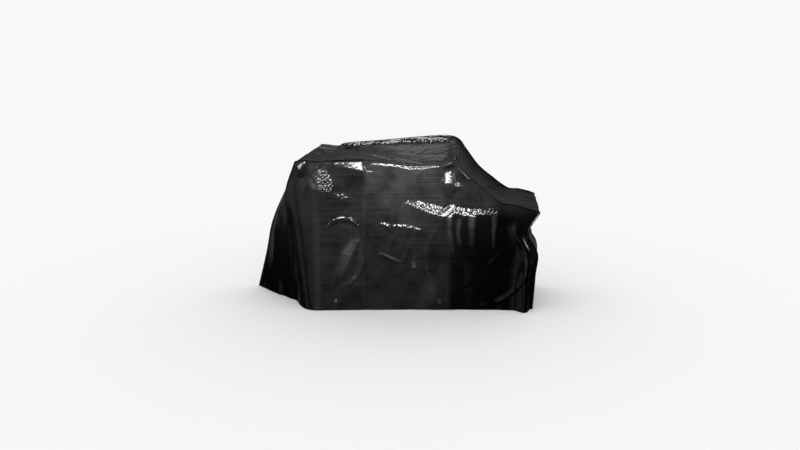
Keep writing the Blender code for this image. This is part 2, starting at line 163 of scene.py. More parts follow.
EndRow = namedtuple("EndRow", "height near_x near_y far_x far_y bulge")
LEFT_END = [
    EndRow(0.00, -0.705, -0.070, -1.039, 0.283, 0.012),
    EndRow(0.25, -0.717, -0.120, -0.972, 0.300, 0.022),
    EndRow(0.45, -0.722, -0.170, -0.925, 0.300, 0.026),
    EndRow(0.62, -0.724, -0.215, -0.850, 0.300, 0.022),
    EndRow(0.80, -0.722, -0.250, -0.740, 0.300, 0.014),
    EndRow(1.00, -0.650, -0.285, -0.542, 0.300, 0.004),
]
RIGHT_END = [
    EndRow(0.00, 0.940, -0.262, 1.020, 0.290, 0.006),
    EndRow(0.38, 0.949, -0.280, 1.022, 0.296, 0.012),
    EndRow(0.58, 0.957, -0.286, 1.026, 0.300, 0.014),
    EndRow(0.79, 0.889, -0.290, 0.990, 0.300, -0.010),
    EndRow(1.00, 0.964, -0.290, 1.039, 0.300, 0.004),
]

# ---------------------------------------------------------------- folds
# A crest is a smooth line through its rows. Each row says, in millimetres: the place along its
# film, the place up (or across) it, how far the crest stands out there, and the widths of its
# two slopes, to the left and the right of the way it runs. A trough stands out by less than 0.
NEAR_CRESTS = {
    # under the top seam, from the handlebar grip to the saddle
    "top_roll": [(-500, 1012, 0, 8, 20), (-420, 996, 4, 26, 40), (-350, 985, 7.8, 40, 70),
        (-270, 972, 14.6, 58, 100), (-204, 962, 24.5, 68, 120), (-195, 966, 4, 34, 140),
        (-170, 988, 2, 12, 160), (-140, 998, 4, 10, 200), (-63, 993, 6, 12, 180), (-13, 989, 7, 14, 180),
        (38, 981, 8, 14, 200), (85, 967, 13, 25, 220), (150, 971, 12, 22, 220), (215, 974, 17, 32, 220),
        (255, 984, 9, 16, 200), (300, 995, 2, 8, 100)],
    "second_roll": [(-190, 953, 0, 8, 20), (-172, 951, 4.2, 10, 30), (-120, 945, 4, 8, 30),
        (-60, 941, 0, 6, 30)],
    "dip_pull": [(200, 975, 0, 10, 20), (180, 958, 5, 14, 30), (155, 920, 3, 14, 40),
        (150, 880, 0, 14, 40)],
    # from the near grip
    "corner_streak": [(-645, 905, 0, 8, 20), (-638, 940, 11, 22, 50), (-618, 972, 15, 30, 60),
        (-592, 1010, 6, 14, 30), (-584, 1022, 0, 10, 20)],
    "grip_skirt": [(-585, 870, 0, 140, 60), (-540, 845, 16, 170, 140), (-490, 830, 23, 182, 180),
        (-425, 815, 21, 165, 180), (-345, 770, 12, 110, 140), (-266, 715, 4, 60, 100),
        (-220, 680, 0, 40, 80)],
    "grip_edge": [(-460, 930, 0, 14, 30), (-399, 871, 1, 22, 50), (-330, 812, 1, 22, 50),
        (-266, 764, 2, 22, 50), (-215, 700, 0, 20, 50)],
    "grip_slit": [(-558, 940, 0, 12, 12), (-545, 905, -3, 12, 20), (-520, 860, -2, 12, 20),
        (-498, 820, 0, 12, 12)],
    "fork_line": [(-338, 704, 0, 8, 20), (-322, 682, 6, 8, 20), (-295, 645, 7, 9, 30),
        (-268, 609, 5, 9, 30), (-255, 590, 0, 9, 30)],
    # from the saddle
    "saddle_seam": [(306, 988, 0, 8, 20), (345, 1003, 4, 8, 20), (382, 1016, 4, 8, 20),
        (398, 1021, 0, 8, 20)],
    "saddle_bulge": [(318, 882, 0, 30, 50), (329, 881, 32, 80, 100), (360, 879, 37, 86, 100),
        (386, 880, 34, 80, 100), (397, 882, 0, 30, 50)],
    "saddle_drop": [(394, 975, 0, 8, 10), (400, 930, 6, 8, 12), (405, 885, 7, 10, 16),
        (408, 865, 0, 10, 10)],
    "saddle_knot": [(384, 862, 0, 14, 30), (395, 857, 13, 30, 50), (425, 855, 12, 28, 50),
        (445, 832, 4, 12, 30), (457, 818, 0, 10, 20)],
    "saddle_line": [(424, 986, 0, 12, 20), (432, 968, 6, 14, 20), (455, 936, 7, 14, 20),
        (486, 908, 6, 13, 20), (502, 896, 0, 10, 20)],
    "saddle_front_pull": [(300, 900, 0, 30, 10), (308, 888, 5, 30, 12), (350, 808, 4, 30, 12),
        (362, 775, 0, 20, 10)],
    # over the rear rack
    "rack_shelf": [(60, 752, 0, 12, 100), (101, 733, 12, 26, 250), (152, 711, 23, 46, 350),
        (194, 697, 28, 54, 380), (232, 678, 35, 68, 400), (297, 661, 34, 66, 400),
        (325, 656, 36, 71, 400), (353, 664, 34, 66, 400), (391, 678, 30, 59, 400),
        (419, 676, 26, 51, 400), (456, 661, 28, 55, 380), (503, 661, 26, 52, 350),
        (545, 668, 21, 42, 320), (606, 670, 12, 26, 300), (680, 672, 0, 16, 200)],
    "rack_crease_a": [(388, 748, 0, 7, 6), (372, 735, -5, 7, 6), (335, 704, -6, 7, 6),
        (300, 675, -4, 7, 6), (288, 664, 0, 7, 6)],
    "rack_crease_b": [(432, 722, 0, 7, 6), (410, 704, -6, 7, 6), (365, 667, -6, 7, 6),
        (352, 655, 0, 7, 6)],
    "rack_crease_c": [(366, 742, 0, 6, 6), (345, 722, -5, 6, 6), (315, 694, -4, 6, 6),
        (300, 680, 0, 6, 6)],
    # drops hanging from the rack
    "drop_a": [(380, 668, 0, 6, 40), (382, 650, 10, 6, 42), (383, 588, 10, 6, 42), (386, 566, 4, 8, 20),
        (405, 520, 4, 12, 24), (412, 380, 3, 14, 24), (414, 300, 0, 14, 20)],
    "drop_b": [(441, 645, 0, 6, 20), (441, 615, 9, 7, 28), (434, 571, 6, 7, 16), (440, 509, 5, 7, 14),
        (455, 470, 6, 8, 24), (472, 430, 0, 8, 16)],
    "drop_c": [(537, 672, 0, 6, 40), (537, 656, 11, 6, 46), (539, 575, 11, 6, 46), (539, 558, 0, 6, 40)],
    "drop_d": [(690, 705, 0, 20, 30), (690, 660, 7, 20, 40), (688, 600, 7, 12, 34), (676, 560, 7, 7, 20),
        (676, 490, 7, 7, 20), (682, 430, 0, 8, 18)],
    # over the frame, between the wheels
    "frame_pull": [(-100, 612, 0, 8, 20), (-88, 604, 6, 10, 20), (-51, 585, 8, 14, 30),
        (-23, 556, 4, 10, 20), (-10, 538, 0, 10, 20)],
    "frame_roll": [(-60, 598, 0, 10, 40), (-32, 588, 4, 12, 60), (20, 583, 7, 18, 80),
        (90, 578, 8, 20, 80), (147, 566, 6, 16, 60), (200, 559, 3, 10, 50), (280, 559, 2, 6, 40),
        (420, 560, 0, 6, 40)],
    "down_tube": [(-200, 668, 0, 12, 20), (-193, 648, 6, 14, 20), (-168, 604, 7, 16, 25),
        (-145, 556, 3, 14, 20), (-130, 515, 0, 12, 20)],
    "chain_line": [(-102, 404, 0, 7, 20), (-91, 398, 5, 8, 20), (-32, 367, 6, 8, 20), (34, 340, 4, 8, 20),
        (55, 334, 0, 8, 20)],
    "pedal": [(129, 322, 3, 18, 18), (138, 296, 7, 18, 18)],
    "hub": [(-232, 500, 0, 20, 30), (-252, 466, 8, 25, 50), (-300, 370, 14, 30, 80),
        (-338, 280, 10, 30, 70), (-362, 215, 0, 30, 50)],
    "wheel_low": [(234, 250, 0, 40, 50), (300, 205, 6, 40, 60), (368, 160, 6, 40, 60),
        (420, 120, 0, 40, 50)],
    "front_wheel": [(-465, 560, 0, 12, 30), (-430, 605, 4, 12, 30), (-393, 632, 6, 12, 30),
        (-340, 640, 8, 14, 30), (-290, 630, 8, 14, 30), (-256, 598, 7, 12, 30), (-235, 546, 6, 12, 35),
        (-217, 459, 6, 12, 35), (-211, 376, 6, 12, 35), (-219, 297, 5, 12, 35), (-258, 228, 5, 12, 30),
        (-330, 169, 3, 12, 30), (-427, 139, 0, 12, 30)],
    # packing creases, straight down the panel
    "pack_crease_a": [(-195, 940, 0, 10, 12), (-197, 870, 2, 10, 12), (-200, 400, 1.3, 12, 12),
        (-204, -10, 1.3, 12, 12)],
    "pack_crease_b": [(-500, 790, 0, 50, 60), (-500, 650, 6, 55, 64), (-500, 350, 5, 60, 64),
        (-500, -10, 4, 60, 64)],
    "pack_crease_c": [(368, 560, 0, 200, 160), (370, 400, 8, 250, 160), (374, 150, 12, 250, 160),
        (376, -10, 12, 250, 160)],
    # where the right-hand part is drawn in
    "tail_knot": [(872, 534, 0, 10, 20), (885, 515, 1.5, 14, 30), (905, 460, 1, 14, 30),
        (933, 404, 1, 14, 30), (945, 365, 0, 12, 20)],
    "tail_fold": [(905, 400, 0, 30, 60), (892, 200, 5, 30, 60), (884, -10, 8, 30, 60)],
}
FAR_CRESTS = {
    "top_roll": [(-420, 1020, 0, 20, 100), (-250, 1020, 16, 36, 180), (100, 1060, 20, 44, 220),
        (380, 1070, 0, 20, 140)],
    "grip_edge": [(-380, 1040, 0, 10, 30), (-440, 900, 12, 50, 30), (-540, 740, 18, 80, 50),
        (-600, 560, 0, 80, 50)],
    "frame_fold": [(-260, 880, 0, 40, 60), (-100, 780, 12, 50, 90), (100, 660, 14, 50, 100),
        (280, 560, 0, 50, 80)],
    "rack_shelf": [(220, 760, 0, 20, 100), (380, 720, 20, 44, 300), (560, 700, 26, 54, 350),
        (760, 690, 24, 50, 350), (900, 690, 0, 20, 200)],
    "saddle_pull_a": [(450, 1100, 0, 12, 12), (410, 1000, 10, 20, 30), (360, 860, 12, 40, 50),
        (330, 780, 0, 40, 50)],
    "saddle_pull_b": [(456, 1100, 0, 12, 12), (460, 980, 10, 24, 20), (470, 850, 10, 40, 30),
        (474, 760, 0, 40, 40)],
    "chain_roll": [(20, 470, 0, 12, 50), (160, 462, 8, 16, 70), (340, 448, 9, 16, 70),
        (480, 440, 0, 12, 50)],
    "stay_line": [(120, 380, 0, 20, 30), (260, 500, 7, 20, 40), (400, 630, 10, 20, 40),
        (480, 700, 0, 20, 30)],
    "hem_pull": [(-60, 360, 0, 30, 30), (-120, 180, 8, 50, 50), (-150, -10, 10, 60, 60)],
    "pack_crease_a": [(-90, 1090, 0, 10, 12), (-150, 600, 4, 10, 12), (-200, -10, 3, 12, 12)],
    "pack_crease_b": [(400, 1090, 0, 12, 12), (390, 600, 3, 12, 12), (380, -10, 3, 12, 12)],
}
# on the strip: along X (or up an end) and across from the near seam
TOP_CRESTS = {
    "far_trough": [(-410, 556, 0, 20, 200), (-375, 566, -14, 22, 250), (-100, 566, -16, 24, 300),
        (120, 562, -19, 28, 300), (260, 548, -24, 40, 300), (380, 550, -18, 40, 250),
        (440, 550, -6, 40, 120), (500, 540, 0, 40, 100)],
    "handlebar": [(-345, 20, 0, 60, 70), (-335, 120, 14, 90, 100), (-345, 420, 12, 90, 100),
        (-360, 570, 0, 60, 70)],
    "saddle": [(396, 10, 0, 20, 20), (404, 60, 14, 40, 30), (420, 220, 12, 70, 60), (440, 400, 4, 80, 80),
        (452, 540, 0, 60, 60)],
    "slant_a": [(-210, 320, 0, 30, 20), (-140, 250, 6, 30, 28), (-40, 155, 6, 30, 28),
        (30, 80, 0, 20, 20)],
    "slant_b": [(-110, 260, 0, 20, 16), (-40, 195, 4, 20, 18), (60, 120, 4, 20, 18),
        (110, 80, 0, 16, 14)],
    "slant_c": [(-20, 250, 0, 24, 18), (60, 185, 5, 26, 24), (160, 100, 5, 24, 22), (240, 40, 0, 16, 14)],
    "slant_d": [(200, 340, 0, 20, 16), (260, 385, 6, 26, 24), (330, 400, 5, 26, 24),
        (400, 390, 0, 20, 18)],
    "slant_e": [(-380, 240, 0, 30, 20), (-300, 200, 5, 30, 26), (-200, 170, 4, 30, 24),
        (-120, 150, 0, 20, 16)],
}
LEFT_CRESTS = {
    "front_wheel": [(20, 280, 4, 120, 120), (300, 290, 14, 140, 120), (620, 300, 10, 120, 120),
        (760, 300, 0, 100, 100)],
    "grip_pull": [(980, 60, 0, 20, 20), (860, 110, 8, 30, 50), (660, 180, 6, 40, 60),
        (500, 220, 0, 40, 60)],
}
RIGHT_CRESTS = {
    "rear_wheel": [(20, 290, 3, 120, 120), (300, 300, 10, 140, 130), (500, 300, 6, 120, 120),
        (600, 300, 0, 100, 100)],
}
# Where the film is most crinkled. Third in each row is how strongly, in thousandths; no place
# gets more than 1000.
NEAR_CRINKLED = {
    "grip": [(-503, 1000, 0, 12, 12), (-495, 980, 1600, 26, 26), (-475, 940, 1800, 48, 48),
        (-463, 886, 1800, 62, 62), (-450, 850, 1600, 62, 62), (-440, 825, 800, 55, 55),
        (-435, 812, 0, 50, 50)],
    "grip_low": [(-500, 790, 400, 40, 50), (-420, 800, 600, 50, 60), (-340, 790, 800, 40, 40),
        (-270, 760, 300, 30, 40)],
    "wedge": [(-420, 1010, 0, 20, 30), (-300, 990, 180, 60, 50), (-230, 980, 150, 60, 50)],
    "ridge": [(-140, 1000, 200, 20, 30), (90, 985, 400, 30, 40), (280, 985, 400, 30, 40)],
    "rack": [(90, 750, 700, 40, 40), (250, 700, 450, 100, 60), (450, 690, 420, 90, 60),
        (550, 690, 450, 80, 60), (600, 690, 900, 60, 50), (650, 690, 1000, 60, 50)],
    "saddle": [(360, 960, 400, 40, 40), (385, 880, 400, 50, 50), (440, 850, 250, 30, 30)],
    "frame": [(-80, 610, 400, 30, 30), (40, 585, 450, 40, 30), (160, 575, 400, 30, 30)],
    "wheel": [(-430, 600, 500, 60, 100), (-280, 620, 600, 50, 80)],
}
# Painted highlights along folds, and painted shade where a row is below 0. Third in each row is the
# painted light that this adds, in thousandths, or takes away where it is below 0.
NEAR_PAINTED_STREAKS = {
    "saddle_shade": [(305, 982, 0, 20, 20), (345, 980, -450, 22, 30), (385, 995, -400, 20, 30),
        (402, 1004, 0, 15, 20)],
    "saddle_drop": [(391, 962, 0, 8, 8), (392, 945, 700, 9, 9), (394, 895, 800, 9, 9),
        (394, 880, 0, 8, 8)],
    "drop_a": [(366, 660, 0, 16, 16), (366, 640, 800, 22, 24), (364, 580, 600, 20, 22),
        (376, 500, 200, 16, 20), (392, 380, 0, 14, 16)],
    "drop_b": [(425, 640, 0, 16, 16), (428, 610, 500, 22, 20), (424, 560, 400, 16, 16),
        (430, 500, 350, 14, 14), (445, 450, 0, 14, 14)],
    "drop_c": [(510, 668, 0, 20, 20), (511, 640, 800, 30, 30), (512, 570, 600, 30, 30),
        (516, 440, 0, 20, 20)],
    "drop_d": [(655, 690, 0, 18, 18), (660, 640, 450, 18, 20), (660, 560, 300, 12, 14),
        (662, 440, 0, 12, 12)],
    "chain_line": [(-102, 408, 0, 7, 7), (-60, 388, 900, 8, 7), (0, 360, 700, 8, 7), (55, 338, 0, 6, 6)],
    "pedal": [(128, 330, 500, 16, 16), (132, 306, 600, 16, 16)],
    "wheel": [(-250, 540, 0, 30, 30), (-300, 450, 350, 50, 50), (-340, 330, 300, 50, 50),
        (-380, 220, 0, 30, 30)],
}
# Painted light streaks across the top strip. Third in each row is the painted light that they add, in
# thousandths.
TOP_PAINTED_STREAKS = {
    "slant_a": [(-210, 310, 0, 12, 12), (-140, 245, 600, 16, 12), (-40, 150, 500, 14, 12),
        (30, 80, 0, 10, 10)],
    "slant_b": [(-110, 250, 0, 10, 10), (-40, 185, 600, 14, 12), (60, 110, 500, 12, 12),
        (110, 80, 0, 10, 10)],
    "slant_c": [(-20, 230, 0, 12, 12), (60, 165, 600, 14, 12), (160, 85, 500, 14, 12),
        (230, 40, 0, 10, 10)],
    "slant_d": [(220, 350, 0, 10, 10), (270, 385, 900, 14, 10), (330, 400, 700, 14, 10),
        (400, 390, 0, 12, 12)],
    "broad": [(-300, 360, 0, 60, 60), (-160, 270, 300, 70, 70), (80, 140, 300, 70, 70),
        (260, 60, 0, 50, 50)],
}
TOP_CRINKLED = {
    "far_edge": [(-360, 560, 400, 50, 40), (50, 550, 600, 60, 50), (350, 540, 600, 60, 80),
        (480, 500, 400, 60, 80)],
}

# How much painted light greys the film, from 0 to 1: a painted reflection of the gloss, lighter up
# the near side, and painted shade where it falls to 0 at the right. Each row of the near side is a
# place along it in metres, and the painted light there at these five heights.
PAINTED_LIGHT_HEIGHTS = (0.05, 0.40, 0.64, 0.74, 0.95)
NEAR_PAINTED_LIGHT = [
    (-0.72, 0.05, 0.11, 0.14, 0.16, 0.22), (-0.56, 0.07, 0.13, 0.16, 0.19, 0.24),
    (-0.53, 0.2, 0.28, 0.32, 0.31, 0.38), (-0.47, 0.2, 0.27, 0.31, 0.3, 0.36),
    (-0.42, 0.18, 0.21, 0.25, 0.27, 0.35), (-0.3, 0.18, 0.32, 0.33, 0.31, 0.23),
    (-0.21, 0.18, 0.29, 0.33, 0.37, 0.35), (-0.19, 0.22, 0.21, 0.31, 0.5, 0.8),
    (0.05, 0.22, 0.23, 0.39, 0.6, 0.92), (0.2, 0.2, 0.23, 0.39, 0.58, 0.82),
    (0.36, 0.17, 0.18, 0.31, 0.48, 0.54), (0.385, 0.03, 0.07, 0.2, 0.42, 0.45),
    (0.5, 0.01, 0.03, 0.07, 0.39, 0.36), (0.65, 0, 0.01, 0.05, 0.34, 0.32),
    (0.72, 0, 0, 0.01, 0.22, 0.26), (1, 0, 0, 0.06, 0.15, 0.15),
]
# Painted light of the top strip, by place along it; of the two ends, darker towards the hem; and of the
# far side, darker at its foot: a painted reflection and painted shade.
TOP_PAINTED_LIGHT = {-0.65: 0.08, -0.45: 0.16, -0.20: 0.50, 0.15: 0.60, 0.42: 0.36, 0.60: 0.18,
            0.80: 0.10, 1.04: 0.08}    # by the place along the top
END_PAINTED_LIGHT = {0.0: 0.02, 0.35: 0.12, 0.80: 0.25}    # by height
FAR_PAINTED_LIGHT = (0.35, 0.30)    # of the far side at its foot, and what is added by its top
FAR_FOOT = 0.1             # height up to which the foot goes
FAR_CRINKLE = 0.10

# Where the film lies against a wheel: "inside" and "outside" are the widths of the ridge's two
# slopes, "start" and "end" degrees round from the right.
Arc = namedtuple("Arc", "name x z radius height inside outside start end")
NEAR_ARCS = [
    Arc("rear_wheel", 0.560, 0.370, 0.345, 0.005, 0.030, 0.012, -105.0, 10.0),
    Arc("rear_wheel_front", 0.560, 0.370, 0.345, 0.004, 0.030, 0.012, 138.0, 222.0),
]
FAR_ARCS = [
    Arc("front_wheel", -0.470, 0.380, 0.345, 0.008, 0.040, 0.014, -20.0, 200.0),
    Arc("rear_wheel", 0.560, 0.380, 0.345, 0.008, 0.040, 0.014, -20.0, 180.0),
]


# ---------------------------------------------------------------- shapes in numbers
def smooth(share):
    """An even rise from 0 to 1 that starts and ends level."""
    share = np.clip(share, 0.0, 1.0)
    return share * share * (3.0 - 2.0 * share)


def hermite(values, knots, at):
    """Read a smooth curve through rows of values at rising knots."""
    values, knots, at = np.asarray(values, float), np.asarray(knots, float), np.asarray(at, float)
    last = len(knots) - 1
    before = np.maximum(np.arange(last + 1) - 1, 0)
    after = np.minimum(np.arange(last + 1) + 1, last)
    slopes = (values[after] - values[before]) / (knots[after] - knots[before])[:, None]
    i = np.clip(np.searchsorted(knots, at, side="left") - 1, 0, last - 1)
    span = (knots[i + 1] - knots[i])[:, None]
    t = (at[:, None] - knots[i][:, None]) / span
    start = (2 * t ** 3 - 3 * t ** 2 + 1) * values[i] + (t ** 3 - 2 * t ** 2 + t) * span * slopes[i]
    end = (3 * t ** 2 - 2 * t ** 3) * values[i + 1] + (t ** 3 - t ** 2) * span * slopes[i + 1]
    return start + end


def unit(vectors):
    """The same directions, each of length 1."""
    return vectors / np.maximum(np.linalg.norm(vectors, axis=-1, keepdims=True), 1e-9)


def path_length(points):
    """Distance of each point of a path from the path's start."""
    steps = np.linalg.norm(np.diff(points, axis=0), axis=1)
    return np.concatenate(([0.0], np.cumsum(steps)))


def even_shares(curve, count, spacing):
    """Shares along a curve of stations that cut it into even steps of about the spacing."""
    fine = np.linspace(0.0, count, BAY_STEPS * count + 1)
    reach = path_length(curve(fine))
    steps = int(round(reach[-1] / spacing))
    return np.interp(np.linspace(0.0, reach[-1], steps + 1), reach, fine)


def station_curve(column):
    """A smooth curve through one column of the stations, read by its place among them."""
    values = [getattr(station, column) for station in STATIONS]
    knots = range(len(STATIONS))
    return lambda shares: hermite(values, list(knots), shares)


def end_curve(rows, side, hem, top, heights):
    """Points of one end seam at the heights, which run from 0 at the hem to 1 at the top."""
    values = [(getattr(row, side + "_x"), getattr(row, side + "_y"), 0.0) for row in rows]
    points = hermite(values, [row.height for row in rows], heights)
    points[:, 2] = hem[2] + (top[2] - hem[2]) * heights
    return points


def side_base(side, shares, heights):
    """The plain surface of one side at stations' shares and heights: rows from hem to top."""
    shares, heights = np.asarray(shares, float), np.asarray(heights, float)
    top_at, hem_at = station_curve("top_" + side), station_curve("hem_" + side)
    tops, hems = top_at(shares), hem_at(shares)
    first, last = hem_at([0.0])[0], hem_at([len(STATIONS) - 1.0])[0]
    up = heights[:, None, None]
    grid = hems[None] * (1.0 - up) + tops[None] * up
    across = (hems[:, 0] - first[0]) / (last[0] - first[0])
    for rows, hem, top, near_end in (
            (LEFT_END, first, top_at([0.0])[0], across),
            (RIGHT_END, last, top_at([len(STATIONS) - 1.0])[0], 1.0 - across)):
        chord = hem * (1.0 - heights[:, None]) + top * heights[:, None]
        bend = end_curve(rows, side, hem, top, heights) - chord
        grid += (1.0 - smooth(near_end / END_REACH))[None, :, None] * bend[:, None]
    return grid + BOX_SHIFT


def blur(rows, rounds):
    """Even out a run of vectors with its neighbours."""
    for _ in range(rounds):
        padded = np.concatenate((rows[:1], rows, rows[-1:]))
        rows = (padded[:-2] + 2.0 * padded[1:-1] + padded[2:]) / 4.0
    return rows


def seam_run(side, heights, shares):
    """Seam points up the left end, along the top and down the right end, and points just inside."""
    end = len(STATIONS) - 1.0
    left = side_base(side, [0.0, END_INSIDE], heights)
    right = side_base(side, [end - END_INSIDE, end], heights)[::-1]
    along = side_base(side, shares[1:-1], [TOP_INSIDE, 1.0])
    seam = np.concatenate((left[:, 0], along[1], right[:, 1]))
    inside = np.concatenate((left[:, 1], along[0], right[:, 0]))
    return seam, inside


def seam_frames(side, heights, shares):
    """Along one seam: its points, the way its flange stands out, and the way to the side."""
    facing = 1.0 if side == "near" else -1.0
    seam, inside = seam_run(side, heights, shares)
    other, _ = seam_run("far" if side == "near" else "near", heights, shares)
    along = facing * unit(np.gradient(seam, axis=0))
    to_side, to_strip = unit(inside - seam), unit(other - seam)
    out = unit(np.cross(to_side, along)) + unit(np.cross(along, to_strip))
    out = blur(unit(out), EVEN_ROUNDS)
    out = unit(out - (out * along).sum(1, keepdims=True) * along)
    out[0, 2] = out[-1, 2] = 0.0
    across = np.cross(out, along)
    turn = np.sign((across * (to_side - to_strip)).sum(1, keepdims=True))
    across = unit(blur(across * turn, EVEN_ROUNDS))
    return seam, unit(out), across


def ripple(length, seed, waves):
    """A gentle wave along a seam or hem, from -1 to 1, made of a few seeded sines."""
    rng = np.random.default_rng(seed)
    total = np.zeros_like(length)
    for wave in waves:
        for _ in range(2):
            period = wave * rng.uniform(*RIPPLE_LENGTHS)
            total += np.sin(2 * math.pi * length / period + rng.uniform(0.0, FULL_TURN))
    return total / (2.0 * len(waves))


def crest_height(u, v, rows):
    """How far the film stands out at (u, v) because of one crest."""
    table = np.array(rows, float)
    knots = path_length(table[:, :2])
    places = np.linspace(0.0, knots[-1], max(int(knots[-1] / CREST_STEP), 1) + 1)
    line = hermite(table[:, :2], knots, places)
    height, left, right = (np.interp(places, knots, table[:, i]) for i in (2, 3, 4))
    reach = max(left.max(), right.max())
    low, high = line.min(0) - reach, line.max(0) + reach
    near = (u > low[0]) & (u < high[0]) & (v > low[1]) & (v < high[1])
    total = np.zeros_like(u)
    if not near.any():
        return total
    at = np.stack((u[near], v[near]), axis=1)
    best = np.full(len(at), np.inf)
    stand, width = np.zeros(len(at)), np.ones(len(at))
    for i in range(len(line) - 1):
        run = line[i + 1] - line[i]
        off = at - line[i]
        share = np.clip(off @ run / (run @ run), 0.0, 1.0)
        away = np.linalg.norm(off - share[:, None] * run, axis=1)
        on_left = off[:, 1] * run[0] - off[:, 0] * run[1] > 0.0
        slope = np.where(on_left, left[i] + (left[i + 1] - left[i]) * share,
                         right[i] + (right[i + 1] - right[i]) * share)
        closer = away < best
        best = np.where(closer, away, best)
        stand = np.where(closer, height[i] + (height[i + 1] - height[i]) * share, stand)
        width = np.where(closer, slope, width)
    rest = np.clip(1.0 - (np.sqrt(best ** 2 + CREST ** 2) - CREST) / width, 0.0, 1.0)
    toe = np.where(rest < TOE, rest * rest / (2.0 * TOE), rest - TOE / 2.0) / (1.0 - TOE / 2.0)
    total[near] = stand * toe
    return total


def crests_height(u, v, crests):
    """How far the film stands out because of a whole table of crests."""
    return sum(crest_height(u, v, np.array(rows) / THOUSAND) for rows in crests.values())


def arc_height(x, z, arcs):
    """How far the film stands out where it lies against the wheels' rims."""
    total = np.zeros_like(x)
    for arc in arcs:
        du, dv = x - arc.x, z - arc.z
        off = np.hypot(du, dv) - arc.radius
        turn = np.degrees(np.arctan2(dv, du))
        middle, half = (arc.start + arc.end) / 2, (arc.end - arc.start) / 2
        away_turn = np.abs((turn - middle + 180.0) % 360.0 - 180.0) / half
        rest = np.clip(1.0 - np.abs(off) / np.where(off > 0.0, arc.outside, arc.inside), 0.0, 1.0)
        total += arc.height * rest * (1.0 - smooth((away_turn - ARC_EVEN) / (1.0 - ARC_EVEN)))
    return total


def crumple(u, v, seed, count, height, length, width):
    """Random small creases all over a film: heights, lengths and widths up to the given ones."""
    rng = np.random.default_rng(seed)
    low_u, high_u, low_v, high_v = u.min(), u.max(), v.min(), v.max()
    total = np.zeros_like(u)
    for _ in range(count):
        u0, v0 = rng.uniform(low_u, high_u), rng.uniform(low_v, high_v)
        turn, reach = rng.uniform(0.0, math.pi), length * rng.uniform(*CREASE_LENGTHS)
        bend = turn + rng.uniform(-CREASE_BEND, CREASE_BEND)
        left, right = width * rng.uniform(*CREASE_WIDTHS, 2)
        u1, v1 = u0 + reach * math.cos(turn), v0 + reach * math.sin(turn)
        rows = [(u0, v0, 0.0, left, right), (u1, v1, height * rng.uniform(-1.0, 1.0), left, right),
                (u1 + reach * math.cos(bend), v1 + reach * math.sin(bend), 0.0, left, right)]
        total += crest_height(u, v, rows)
    return total


def read_table(table, at):
    """Read a table of place: value at any places."""
    return np.interp(at, list(table), list(table.values()))


def near_haze(x, z):
    """Painted light and shade of the near side, from its rows of places and its five heights."""
    rows = np.array(NEAR_PAINTED_LIGHT)
    bands = np.array([np.interp(x, rows[:, 0], rows[:, i + 1]) for i in range(len(PAINTED_LIGHT_HEIGHTS))])
    total = bands[0].copy()
    for i in range(len(PAINTED_LIGHT_HEIGHTS) - 1):
        low, high = PAINTED_LIGHT_HEIGHTS[i], PAINTED_LIGHT_HEIGHTS[i + 1]
        share = np.clip((z - low) / (high - low), 0.0, 1.0)
        total += (bands[i + 1] - bands[i]) * share
    return total


def outward(grid):
    """The unit normal at each point of a grid whose rows go up and columns go along."""
    return unit(np.cross(np.gradient(grid, axis=1), np.gradient(grid, axis=0)))


# ---------------------------------------------------------------- sheets of film
def only(obj):
    """Select this object and nothing else."""
    bpy.ops.object.select_all(action="DESELECT")
    obj.select_set(True)
    bpy.context.view_layer.objects.active = obj


def lay_grid(name, points, uv, **paint):
    """A flat grid, its points moved onto the film's surface, with its own sizes as its UV map."""
    rows, columns = points.shape[:2]
    bpy.ops.object.select_all(action="DESELECT")
    bpy.ops.mesh.primitive_grid_add(x_subdivisions=columns - 1, y_subdivisions=rows - 1, size=1.0)
    obj = bpy.context.object
    obj.name = obj.data.name = name
    mesh = obj.data
    mesh.vertices.foreach_set("co", points.reshape(-1))
    corners = np.empty(len(mesh.loops), int)
    mesh.loops.foreach_get("vertex_index", corners)
    mesh.uv_layers[0].data.foreach_set("uv", uv.reshape(-1, 2)[corners].reshape(-1))
    for key, values in paint.items():
        layer = mesh.attributes.new(key, "FLOAT", "POINT")
        layer.data.foreach_set("value", np.ascontiguousarray(values, float).reshape(-1))
    mesh.update()
    # At the flange's corners several points of the grid meet in one.
    bpy.ops.object.mode_set(mode="EDIT")
    bpy.ops.mesh.select_all(action="SELECT")
    bpy.ops.mesh.remove_doubles(threshold=SAME_PLACE)
    bpy.ops.object.mode_set(mode="OBJECT")
    return obj


def thicken(obj):
    """Give the film its thickness and smooth shading."""
    only(obj)
    solidify = obj.modifiers.new("film", "SOLIDIFY")
    solidify.thickness = FILM
    solidify.offset = 0.0
    bpy.ops.object.modifier_apply(modifier=solidify.name)
    bpy.ops.object.shade_smooth()


def select_parts(obj, kind, wanted):
    """In edit mode, select just the faces or the edges that a test picks."""
    bpy.ops.mesh.select_mode(type=kind)
    bpy.ops.mesh.select_all(action="DESELECT")
    bpy.ops.object.mode_set(mode="OBJECT")
    for part in obj.data.polygons if kind == "FACE" else obj.data.edges:
        part.select = wanted(part)
    bpy.ops.object.mode_set(mode="EDIT")


def punch(obj, x, z):
    """Cut the film away round one eyelet's barrel, and move the cut edge onto a circle."""
    only(obj)
    mesh = obj.data
    bpy.ops.object.mode_set(mode="EDIT")
    select_parts(obj, "FACE",
                 lambda face: math.hypot(face.center.x - x, face.center.z - z) < EYELET_CUT)
    bpy.ops.mesh.delete(type="FACE")
    bpy.ops.mesh.select_mode(type="EDGE")
    bpy.ops.mesh.select_non_manifold(extend=False)
    bpy.ops.object.mode_set(mode="OBJECT")
    for vertex in mesh.vertices:
        off = math.hypot(vertex.co.x - x, vertex.co.z - z)
        if vertex.select and off < 2.0 * EYELET_CUT:
            vertex.co.x = x + (vertex.co.x - x) * EYELET_EDGE / off
            vertex.co.z = z + (vertex.co.z - z) * EYELET_EDGE / off


